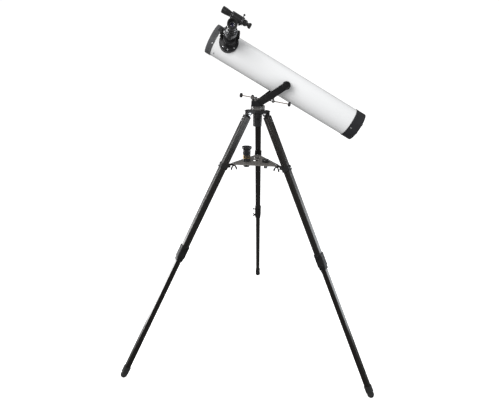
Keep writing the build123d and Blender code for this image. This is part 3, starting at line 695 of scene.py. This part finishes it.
piece("spider_nuts", TUBE, "tube", "bright_steel", many, spider_places, spider_nut)
piece("spider_adjusters", TUBE, "tube", "bright_steel",
      many, circle(5.6, spider_low, (30, 150, 270), tip=180), screw_head, 1.7, 1.6)
piece("mirror_clip_screws", TUBE, "tube", "bright_steel",
      many, circle(52.6, ends_of("mirror_clips", TUBE)[0], (90, 210, 330), tip=180),
      screw_head, 2.0, 1.3)
piece("collimation_washers", TUBE, "tube", "bright_steel",
      many, circle(45, rear_end, range(0, 360, 60)), washer, 2.2, 7.4, -0.1, 0.8)

# Altitude knobs: ribbed tyre, dished cap and washer
PIVOT_AT = place(PIVOT, -axis_of("altitude_tilt"), REARWARD)
for side, name in ((1, "near"), (-1, "far")):
    outward = place(PIVOT, -axis_of("altitude_tilt") * side, REARWARD)
    body = f"altitude_knob_{name}"
    low, high = ends_of(body, outward)
    piece(f"altitude_tyre_{name}", outward, body, "knob_plastic",
          knurled_ring, 19.2, low + 2.0, high - 2.2, 36, 0.9, wall=3.4)
    piece(f"altitude_cap_{name}", outward, body, "knob_plastic",
          turned, [(4.3, high - 0.4), (15.6, high - 0.4), (15.6, high + 0.5), (14.6, high + 1.1),
                   (13.4, high + 0.5), (8.4, high + 0.3), (7.4, high + 1.2), (4.3, high + 1.2)],
          segments=96)
    piece(f"altitude_washer_{name}", outward, "fork", "bright_steel",
          washer, 7.3, 13.5, low - 0.62, low - 0.1)
piece("trunnion_rings", PIVOT_AT, "tube", "cell_plastic",
      rings, ((16.9, 77.6), (16.9, -77.6), (16.9, 71.5), (16.9, -71.5)), 0.5)

# Fork: raised rims along the arms, bolts on the base
FORK_FOOT = Vector((0, 0, 1.44))  # origin of the arms' frame, on the azimuth axis, in metres
FORK_BASE_TOP = 1442.9
fork_at = place(FORK_FOOT, axis_of("altitude_tilt"), PIVOT - FORK_FOOT)
fork_reach = (PIVOT - FORK_FOOT).length / MM
arm_outer = -span("fork", VERTICAL)[0].y


def fork_rims(bm):
    for side in (-1, 1):
        for edge in (-13.6, 13.6):
            face = sorted((side * (arm_outer - 0.3), side * (arm_outer + 0.5)))
            block(bm, (78, fork_reach - 19), (edge - 1.1, edge + 1.1), face, 0.6)


piece("fork_rims", fork_at, "fork", "fork_paint", fork_rims, bevel=0.25)


def fork_teeth(bm):
    """Row of cross ribs down both edges of both arms."""
    for side in (-1, 1):
        for i in range(9):
            start = 84 + i * 7.6
            across = sorted((side * (arm_outer - 10.6), side * (arm_outer - 1.4)))
            for edge in ((-16.5, -15.6), (15.6, 16.5)):
                block(bm, (start, start + 3.2), edge, across, 0.3)


piece("fork_teeth", fork_at, "fork", "fork_paint", fork_teeth, bevel=0.2)
piece("fork_collars", PIVOT_AT, "fork", "fork_paint",
      rings, ((18.6, arm_outer + 0.1), (18.6, -arm_outer - 0.1)), 0.6)
fork_bolt_places = [Matrix.Translation((16, y, FORK_BASE_TOP)) for y in (-30, 30)]
piece("fork_bolts", VERTICAL, "fork", "bright_steel", many, fork_bolt_places, hexagon, 8, 0, 4.2)
piece("fork_bolt_washers", VERTICAL, "fork", "bright_steel", many, fork_bolt_places, washer, 2, 6.6, 0, 0.8)

# Head and hub
nut_top = ends_of("spindle_nut", VERTICAL)[1]
piece("spindle_nut_insert", VERTICAL, "azimuth_head", "bright_steel",
      turned, [(6.0, nut_top - 0.5), (8.2, nut_top - 0.5), (8.2, nut_top + 0.9),
               (7.4, nut_top + 1.6), (6.0, nut_top + 1.2)], segments=48)
hub_low, hub_top = ends_of("tripod_hub", VERTICAL)
piece("head_rim_rings", VERTICAL, "azimuth_head", "head_metal",
      rings, ((34.9, hub_top + 5.5), (34.9, hub_top + 16.0)), 0.55)
piece("head_index_marks", VERTICAL, "azimuth_head", "bright_steel",
      many, [on_rim(10 * i, 34.7, hub_top + 10.7) for i in range(36)],
      block, (-3.0, 3.0), (-0.25, 0.25), (0, 0.5), 0.2)
piece("sleeve_rings", VERTICAL, "tripod", "hub_casting",
      rings, ((22.0, hub_low + 1.4), (22.6, hub_low + 28), (28.9, hub_top - 14.5)), 0.7)
piece("sleeve_keys", VERTICAL, "tripod", "hub_casting",
      many, [on_rim(angle, 21.6, hub_low + 33, 90) for angle in (-100, -62, 30, 150)],
      block, (-1.2, 1.2), (-30, 30), (0, 1.9), 0.6, bevel=0.4)
piece("hub_arm_ribs", VERTICAL, "tripod", "hub_casting",
      many, along_arms(0, -13.8, hub_top - 0.3) + along_arms(0, 13.8, hub_top - 0.3),
      block, (30, 50), (-1.6, 1.6), (0, 1.0), 0.8, bevel=0.3)
piece("hub_arm_screws", VERTICAL, "tripod", "bright_steel",
      many, along_arms(44, 0, hub_top - 0.2), screw_head, 4.2, 1.9)
lock = place(point_of("azimuth_lock_turn"), axis_of("azimuth_lock_turn"), WORLD_UP)
lock_end = ends_of("azimuth_lock_screw", lock)[1]
piece("azimuth_lock_cap", lock, "azimuth_lock", "knob_plastic",
      turned, [(0, lock_end + 0.9), (2.6, lock_end + 0.7), (4.2, lock_end), (4.2, lock_end - 0.4),
               (0, lock_end - 0.4)], segments=40, closed=False)

# Slow-motion screw: a real thread in the middle of the rod, capped knobs
rod_start, rod_end = ends_of("slow_motion_screw", ROD)
nut_start, nut_end = ends_of("slow_motion_nut", ROD)


def rod_with_thread(bm):
    radius, depth, pitch, chamfer = 2.5, 0.42, 1.25, 0.6
    neck = 2.05
    cut_start, cut_end = nut_start - 13, nut_end + 22
    turned(bm, [(0, rod_start), (1.9, rod_start), (radius, rod_start + chamfer),
                (radius, cut_start - chamfer), (neck, cut_start), (0, cut_start)], segments=24, closed=False)
    thread(bm, radius, depth, pitch, cut_start - 0.1, cut_end + 0.1)
    turned(bm, [(0, cut_end), (neck, cut_end), (radius, cut_end + chamfer),
                (radius, rod_end - chamfer), (1.9, rod_end), (0, rod_end)], segments=24, closed=False)


piece("threaded_rod", ROD, "slow_motion_screw", "chrome", rod_with_thread, finish=DARK_ROD,
      stands_for=("slow_motion_screw",), smooth=25)
knob_left, knob_right = ends_of("slow_motion_knobs", ROD)
for name, z, tip in (("left", knob_left, 180), ("right", knob_right, 0)):
    knob_at = ROD @ facing(z=z, tip=tip)
    piece(f"slow_motion_cap_{name}", knob_at, "slow_motion_screw", "knob_plastic",
          turned, [(0, 1.0), (4.6, 0.8), (6.6, 0.1), (6.9, -0.3), (0, -0.3)], segments=48, closed=False)
    piece(f"slow_motion_grip_{name}", knob_at, "slow_motion_screw", "knob_plastic",
          knurled_ring, 11.1, -7.8, -1.2, 24, 0.8, wall=2.5)

# Focuser
piece("focuser_flange_rings", FOCUSER, "tube", "focuser_plastic",
      rings, ((44.1, 79.0), (42.0, 79.6), (35.5, 82.7), (29.6, 84.3), (28.0, 90.5), (27.7, 127.6)), 0.7)
piece("focuser_lip", FOCUSER, "tube", "focuser_plastic",
      turned, [(18.6, 127.4), (27.4, 127.4), (27.4, 128.6), (26.6, 129.4), (20.4, 129.4),
               (18.6, 128.6)], segments=96)
piece("focuser_flange_screws", FOCUSER, "tube", "bright_steel",
      many, [facing(*turn_point(37.6, math.radians(angle), 82.0), angle, 12)
             for angle in (-135, -95, -45, 45, 135)], screw_head, 2.9, 1.7)
pinion_low, pinion_high = span("focus_shaft", FOCUSER)
pinion_y, pinion_z = (pinion_low.y + pinion_high.y) / 2, (pinion_low.z + pinion_high.z) / 2
PINION_COVER = (FOCUSER @ Matrix.Translation((0, pinion_y + 8.9, pinion_z))
                @ Matrix.Rotation(-QUARTER_TURN, 4, "X"))
piece("pinion_cover", PINION_COVER, "tube", "focuser_plastic",
      plate, rounded_outline(36, 19, 4), 0, 1.6, bevel=0.5)
piece("pinion_cover_screws", PINION_COVER, "tube", "bright_steel",
      many, [Matrix.Translation((x, y, 1.5)) for x in (-14, 14) for y in (-6, 6)], screw_head, 2.2, 1.2)
PINION = FOCUSER @ Matrix.Translation((0, pinion_y, pinion_z)) @ Matrix.Rotation(QUARTER_TURN, 4, "Y")
piece("pinion_bushes", PINION, "tube", "bright_steel",
      lambda bm: (washer(bm, 4.2, 7.0, 20.9, 22.6), washer(bm, 4.2, 7.0, -22.6, -20.9)))
piece("focus_tyres", PINION, "focus_pinion", "knob_plastic",
      lambda bm: (knurled_ring(bm, 18.9, 31.4, 42.6, 36, 1.1, wall=4),
                  knurled_ring(bm, 18.9, -42.6, -31.4, 36, 1.1, wall=4)))


def focus_caps(bm):
    profile = [(0, 45.6), (6.5, 45.5), (9.4, 44.9), (10.4, 44.3), (11.4, 45.2), (12.6, 45.2), (13.4, 44.2),
               (0, 44.2)]
    many(bm, [facing(tip=tip) for tip in (0, 180)], turned, profile, segments=64, closed=False)


piece("focus_caps", PINION, "focus_pinion", "chrome", focus_caps)
collar_high = ends_of("drawtube", FOCUSER)[1]
piece("collar_rings", FOCUSER, "drawtube", "focuser_plastic",
      rings, ((26.9, 183.5), (26.9, 187.0), (26.9, collar_high - 3.5), (25.4, collar_high + 0.1),
              (22.6, collar_high + 0.1)), 0.55, finish=DARK_RING)
piece("drawtube_rings", FOCUSER, "drawtube", "focuser_plastic", rings, ((18.0, 176.5), (18.0, 173.5)), 0.5)

# Eyepiece
piece("eyepiece_grip", FOCUSER, "eyepiece", "black_plastic", knurled_ring, 20.9, 234, 250, 60, 0.55, wall=2)
piece("eyepiece_bands", FOCUSER, "eyepiece", "bright_steel",
      rings, ((20.9, 212.5), (20.0, 231.6), (20.0, 253.0), (19.9, 260.4)), 0.5)
piece("eye_lens", FOCUSER, "eyepiece", "lens_glass", lens, 9.2, 255.4, 2.0, 4)
piece("eye_lens_ring", FOCUSER, "eyepiece", "bright_steel",
      turned, [(8.4, 254.5), (9.6, 254.5), (10.6, 262.2), (13.8, 262.2), (13.2, 263.4),
               (10.2, 263.2), (8.4, 257)], segments=72)
piece("eyecup_folds", FOCUSER, "eyepiece", "soft_rubber",
      rings, ((21.4, 266.5), (21.4, 270.5), (21.3, 274.5), (20.2, 279.8)), 0.8)

# Finder
finder_front, finder_back = ends_of("finder_tube", FINDER)
foot_way = FINDER.translation - TUBE.translation
foot_way = foot_way - REARWARD * foot_way.dot(REARWARD)
FINDER_FOOT = place(TUBE.translation, foot_way, REARWARD)
piece("finder_front_ring", FINDER, "tube", "black_plastic",
      turned, [(12.2, finder_front + 4), (12.2, finder_front + 0.8), (13.2, finder_front - 0.5),
               (14.8, finder_front - 0.5), (15.7, finder_front + 0.4), (15.7, finder_front + 2.6),
               (15.0, finder_front + 3.4)], segments=72)
piece("finder_dewshield_rings", FINDER, "tube", "black_plastic",
      rings, ((15.4, finder_front + 9), (15.4, finder_front + 12), (14.9, finder_front + 20.4),
              (12.4, finder_front + 43)), 0.5)
piece("finder_locknut", FINDER, "tube", "black_plastic",
      knurled_ring, 14.3, finder_back - 36, finder_back - 26, 36, 0.7, wall=2.4)
piece("finder_eye_grip", FINDER, "tube", "black_plastic",
      knurled_ring, 13.0, finder_back - 8.6, finder_back - 1.6, 30, 0.5, wall=1.6)
piece("finder_eye_ring", FINDER, "tube", "soft_rubber",
      turned, [(5.2, finder_back - 2), (5.6, finder_back + 0.5), (11.4, finder_back + 0.7),
               (12.7, finder_back - 0.4), (12.7, finder_back - 1.2)], segments=64)
piece("finder_bracket_lips", FINDER, "tube", "black_plastic",
      rings, ((18.1, finder_front + 49), (18.1, finder_front + 55), (18.1, finder_back - 46),
              (18.1, finder_back - 41)), 0.8, finish=DARK_RING)


def cross_hair(bm):
    many(bm, [facing(z=finder_back - 26, turn=turn) for turn in (0, 90)], strip, 0, 0, (-9.5, 9.5), 0.12, 6)


piece("finder_cross_hair", FINDER, "tube", "black_plastic", cross_hair)
FOOT_TOP = 76  # of the finder's foot, from the tube's axis
piece("finder_foot_screws", FINDER_FOOT, "tube", "bright_steel",
      many, [Matrix.Translation((z, y, FOOT_TOP - 0.2)) for z in (-379.2, -331.0)
             for y in (-8.5, 8.5)], screw_head, 2.7, 1.8)
piece("finder_stalk_webs", FINDER_FOOT, "tube", "black_plastic",
      many, [Matrix.Translation((z, 0, FOOT_TOP - 0.5)) for z in (-366, -355, -344)],
      block, (-1.3, 1.3), (-8.0, 8.0), (0, 44), 0.6, bevel=0.3)

# Legs, clamps, collars and feet
STATION_ZERO = 28  # distances down a leg are counted from this far above the upper leg's end
COLLAR_DROP = 298  # down the leg to the middle of the tray collar
COLLAR = bar_outline(42, 37, 6)  # outline of the knee clamps and of the tray collars
COLLAR_FACE = 20.9


def leg_strips(bm, columns, half, low, high):
    """Half-round beads along both flanks of a leg."""
    for x in columns:
        for y in (-half, half):
            strip(bm, x, y, (low + 3, high - 3))


for leg, at in LEG_FRAMES.items():
    upper_low, upper_high = ends_of(f"upper_leg_{leg}", at)
    lower_low, lower_high = ends_of(f"lower_leg_{leg}", at)
    clamp_low, clamp_high = ends_of(f"knee_clamp_{leg}", at)
    foot_high = ends_of(f"rubber_foot_{leg}", at)[1]
    top = upper_high + STATION_ZERO
    upper, lower = f"upper_leg_{leg}", f"lower_leg_{leg}"
    piece(f"upper_leg_ribs_{leg}", at, "tripod", "leg_anodised",
          leg_strips, (-3.2, 0.0, 3.2), 14.75, upper_low, upper_high, finish=LEG_FINISHES[upper])
    piece(f"lower_leg_ribs_{leg}", at, lower, "lower_leg_anodised",
          leg_strips, (-3.2, 3.2), 12.55, lower_low, lower_high, finish=LEG_FINISHES[lower])
    piece(f"leg_rivets_{leg}", at, "tripod", "bright_steel",
          many, [on_rim(angle, 17.4, top - drop) for angle in (0, 180) for drop in (38, 52)], turned,
          [(0, 1.1), (1.4, 0.9), (2.4, 0.2), (2.5, 0), (0, 0)], segments=24, closed=False)
    piece(f"leg_top_bands_{leg}", at, "tripod", "black_plastic",
          bands, bar_outline(35, 30, 5), (top - 26.6, top - 23.4), 1.1, 0.45)
    piece(f"knee_clamp_bands_{leg}", at, "tripod", "black_plastic",
          lambda bm: (bands(bm, COLLAR, (clamp_high - 1.6, clamp_high - 6, clamp_high - 60), 2.2, 0.6),
                      bands(bm, bar_outline(36, 33.6, 5), (clamp_low + 1.4, clamp_low + 5.5), 1.8, 0.5)))
    piece(f"knee_clamp_panels_{leg}", at, "tripod", "black_plastic",
          many, [on_rim(angle, COLLAR_FACE, clamp_high - 33) for angle in (0, 180)],
          plate, rounded_outline(34, 22, 4), 0, 0.8, bevel=0.4)
    piece(f"tray_collar_bands_{leg}", at, "tripod", "black_plastic",
          bands, COLLAR, (top - COLLAR_DROP + 11, top - COLLAR_DROP - 11), 2.0, 0.55)
    piece(f"tray_collar_bolts_{leg}", at, "tripod", "bright_steel",
          sub, on_rim(0, COLLAR_FACE, top - COLLAR_DROP), hexagon, 7, 0, 3.4)
    piece(f"foot_ribs_{leg}", at, lower, "foot_rubber",
          bands, bar_outline(33.5, 31, 6), (foot_high - 1.5, foot_high - 7, foot_high - 12.5), 2.4, 0.7)
    piece(f"leg_plug_{leg}", at, lower, "black_plastic",
          plate, rounded_outline(24, 21.6, 2.6), lower_high - 6, lower_high - 0.4, bevel=0.4)

# Leg pivots
hub_pivots = []
for angle in LEG_ANGLES:
    away = turn_point(1, math.radians(angle), 0)
    sideways = WORLD_UP.cross(away)
    bolts = [v.co for v in NODES["leg_pivot_bolts"].data.vertices if v.co.dot(away) > 0.03]
    middle = sum(bolts, Vector()) / len(bolts)
    for side in (-1, 1):
        hub_pivots.append(place(middle, sideways * side, WORLD_UP))
for index, at in enumerate(hub_pivots):
    piece(f"pivot_washer_{index}", at, "tripod", "bright_steel",
          lambda bm: (washer(bm, 3.2, 7.6, 16.95, 17.7),
                      turned(bm, [(0, 21.9), (2.6, 21.7), (4.3, 21.0), (4.3, 20.9), (0, 20.9)], segments=32,
                             closed=False)))

# Tray and what stands in it
tray_low, tray_top = ends_of("accessory_tray", VERTICAL)
TRAY_CORNER_REACH, TRAY_CORNER_RADIUS, TRAY_BOLT_REACH = 120, 16, 126


def tray_path(grow, z):
    """Edge of the tray: an arc round each corner, grown by a distance."""
    row = []
    for corner in sorted(LEG_ANGLES):
        middle = turn_point(TRAY_CORNER_REACH, math.radians(corner), z)
        for i in range(13):
            row.append(middle + turn_point(TRAY_CORNER_RADIUS + grow, math.radians(corner - 60 + 10 * i), 0))
    return row


def rolled_edge(bm):
    for z, thick in ((tray_low + 0.7, 0.9), (tray_top - 0.4, 0.5)):
        rows = [tray_path(thick * math.cos(math.tau * i / 10) - 0.2, z + thick * math.sin(math.tau * i / 10))
                for i in range(10)]
        quad_grid(bm, rows, close_rows=True)


piece("tray_rolled_edge", VERTICAL, "tripod", "tray_metal", rolled_edge)
barlow_hole = BARLOW.translation.to_2d() / MM
piece("tray_hole_rims", VERTICAL, "tripod", "tray_metal",
      lambda bm: (many(bm, [Matrix.Translation((0, y, 0)) for y in (10, 65)],
                       ring, 18.1, 0.6, tray_top + 0.05),
                  sub(bm, Matrix.Translation((*barlow_hole, 0)), ring, 21.1, 0.6, tray_top + 0.05)))
tray_bolts = along_arms(TRAY_BOLT_REACH, 0, tray_top)
piece("tray_dome_nuts", VERTICAL, "tripod", "bright_steel",
      many, tray_bolts, turned, [(0, 5.2), (1.8, 4.8), (3.4, 3.7), (3.9, 2.9), (0, 2.9)],
      segments=36, closed=False)
piece("tray_washers", VERTICAL, "tripod", "bright_steel", many, tray_bolts, washer, 2.6, 8.4, -0.1, 0.7)
barlow_low, barlow_high = ends_of("barlow_lens", BARLOW)
BARLOW_BODY = 20  # radius
piece("barlow_gold_bands", BARLOW, "barlow", "chrome",
      lambda bm: [washer(bm, BARLOW_BODY - 1.5, BARLOW_BODY + 0.25, barlow_high - low, barlow_high - high)
                  for low, high in ((46.5, 44.9), (51.5, 49.9), (59.5, 56.0))], finish=GOLD)
piece("barlow_knurl", BARLOW, "barlow", "black_plastic",
      knurled_ring, BARLOW_BODY + 0.5, barlow_high - 40, barlow_high - 24, 54, 0.6, wall=2)
piece("barlow_flare_ring", BARLOW, "barlow", "black_plastic",
      rings, ((24.3, barlow_high - 0.3), (25.3, barlow_high - 6),
              (BARLOW_BODY - 0.1, barlow_high - 14.5)), 0.6)
piece("barlow_lens_glass", BARLOW, "barlow", "lens_glass", lens, 13.4, barlow_low + 16, 2.4, 5)
piece("barlow_inner_ring", BARLOW, "barlow", "chrome",
      turned, [(14.4, barlow_high - 14), (16.7, barlow_high - 13.2), (17.6, barlow_high - 9.6),
               (16.6, barlow_high - 8.8), (14.8, barlow_high - 11)], segments=64)
spare_low, spare_high = ends_of("spare_eyepiece", SPARE)
piece("spare_grip", SPARE, "spare_eyepiece", "black_plastic",
      knurled_ring, 18.9, spare_low + 2, spare_high - 5, 48, 0.55, wall=2)
piece("spare_eye_lens", SPARE, "spare_eyepiece", "lens_glass", lens, 8.1, spare_high - 2.2, 1.4, 2)
piece("spare_eye_ring", SPARE, "spare_eyepiece", "soft_rubber",
      rings, ((15.6, spare_high - 0.1), (9.4, spare_high + 0.1)), 0.6)


# ---------------------------------------------------------------- studio
AMBIENT, REFLECTED, BACKDROP = 0.42, 0.13, 1.05  # brightness of the world, as light, in reflections and seen
FLOOR_GLOW = 0.85
COOL = (0.93, 0.97, 1.0)
AIM = (0, 0, 1.2)


def area_light(name, place_at, target, size, power, colour=(1, 1, 1), only_reflected=False):
    data = bpy.data.lights.new(name, "AREA")
    data.shape = "RECTANGLE"
    data.size, data.size_y = size
    data.energy = power
    data.color = colour
    lamp = bpy.data.objects.new(name, data)
    lamp.location = place_at
    lamp.rotation_euler = (Vector(target) - Vector(place_at)).to_track_quat("-Z", "Y").to_euler()
    lamp.visible_diffuse = not only_reflected
    bpy.context.scene.collection.objects.link(lamp)


def surroundings():
    """World: pure white behind the object, and a dimmer even light on it."""
    world = bpy.data.worlds.new("studio")
    world.use_nodes = True
    bpy.context.scene.world = world
    nodes, links = world.node_tree.nodes, world.node_tree.links
    path = nodes.new("ShaderNodeLightPath")
    result = nodes["Background"]
    result.inputs["Color"].default_value = (1, 1, 1, 1)
    result.inputs["Strength"].default_value = AMBIENT
    for ray, strength in (("Is Glossy Ray", REFLECTED), ("Is Camera Ray", BACKDROP)):
        seen = nodes.new("ShaderNodeBackground")
        seen.inputs["Color"].default_value = (1, 1, 1, 1)
        seen.inputs["Strength"].default_value = strength
        either = nodes.new("ShaderNodeMixShader")
        links.new(path.outputs[ray], either.inputs["Fac"])
        links.new(result.outputs[0], either.inputs[1])
        links.new(seen.outputs[0], either.inputs[2])
        result = either
    links.new(result.outputs[0], nodes["World Output"].inputs["Surface"])


def pale_floor():
    """Pale studio floor; it glows a little, like a light table, so that shadows stay soft."""
    recipe = Recipe("pale_floor")
    cloud = recipe.noise(0.6, 2)
    recipe.set(Base_Color=recipe.blend(cloud, (0.9, 0.9, 0.9), (0.94, 0.94, 0.94)), Roughness=0.95,
               Emission_Color=(1, 1, 1), Emission_Strength=FLOOR_GLOW)
    reach = 40
    mesh = bpy.data.meshes.new("floor")
    mesh.from_pydata([(-reach, -reach, 0), (reach, -reach, 0), (reach, reach, 0), (-reach, reach, 0)],
                     [], [(0, 1, 2, 3)])
    floor = bpy.data.objects.new("floor", mesh)
    floor.data.materials.append(recipe.material)
    floor.visible_diffuse = False
    floor.visible_glossy = False
    bpy.context.scene.collection.objects.link(floor)


def studio():
    surroundings()
    pale_floor()
    area_light("key", (-1.8, -3.2, 3.4), AIM, (2.6, 2.6), 128)
    area_light("top", (-0.6, 0.6, 4.2), AIM, (2.0, 2.0), 30)
    area_light("left_card", (-2.5, 0.5, 1.1), (0, 0, 1.0), (1.0, 2.6), 70, only_reflected=True)
    area_light("right_card", (2.5, 0.6, 1.3), (0, 0, 1.1), (0.9, 2.6), 32, COOL, only_reflected=True)
    area_light("right_fill", (2.8, -1.8, 1.4), (0, 0, 1.3), (0.6, 2.0), 14, COOL)
    bpy.context.scene.view_settings.view_transform = "Standard"


CAMERA_AT = (0.11475, -2.04358, 1.6885)
CAMERA_HEADING = 3.944  # degrees to the left of +Y
CAMERA_PITCH = -20.48
CAMERA_ROLL = 1.597
CAMERA_LENS = 28.9  # millimetres on a 36 mm sensor


def camera():
    data = bpy.data.cameras.new("camera")
    data.lens = CAMERA_LENS
    data.sensor_width = 36
    data.clip_end = 200
    made = bpy.data.objects.new("camera", data)
    heading = Matrix.Rotation(math.radians(CAMERA_HEADING), 4, "Z")
    pitch = Matrix.Rotation(math.radians(90 + CAMERA_PITCH), 4, "X")
    roll = Matrix.Rotation(math.radians(CAMERA_ROLL), 4, "Z")
    made.matrix_world = Matrix.Translation(CAMERA_AT) @ heading @ pitch @ roll
    bpy.context.scene.collection.objects.link(made)
    bpy.context.scene.camera = made


studio()
camera()
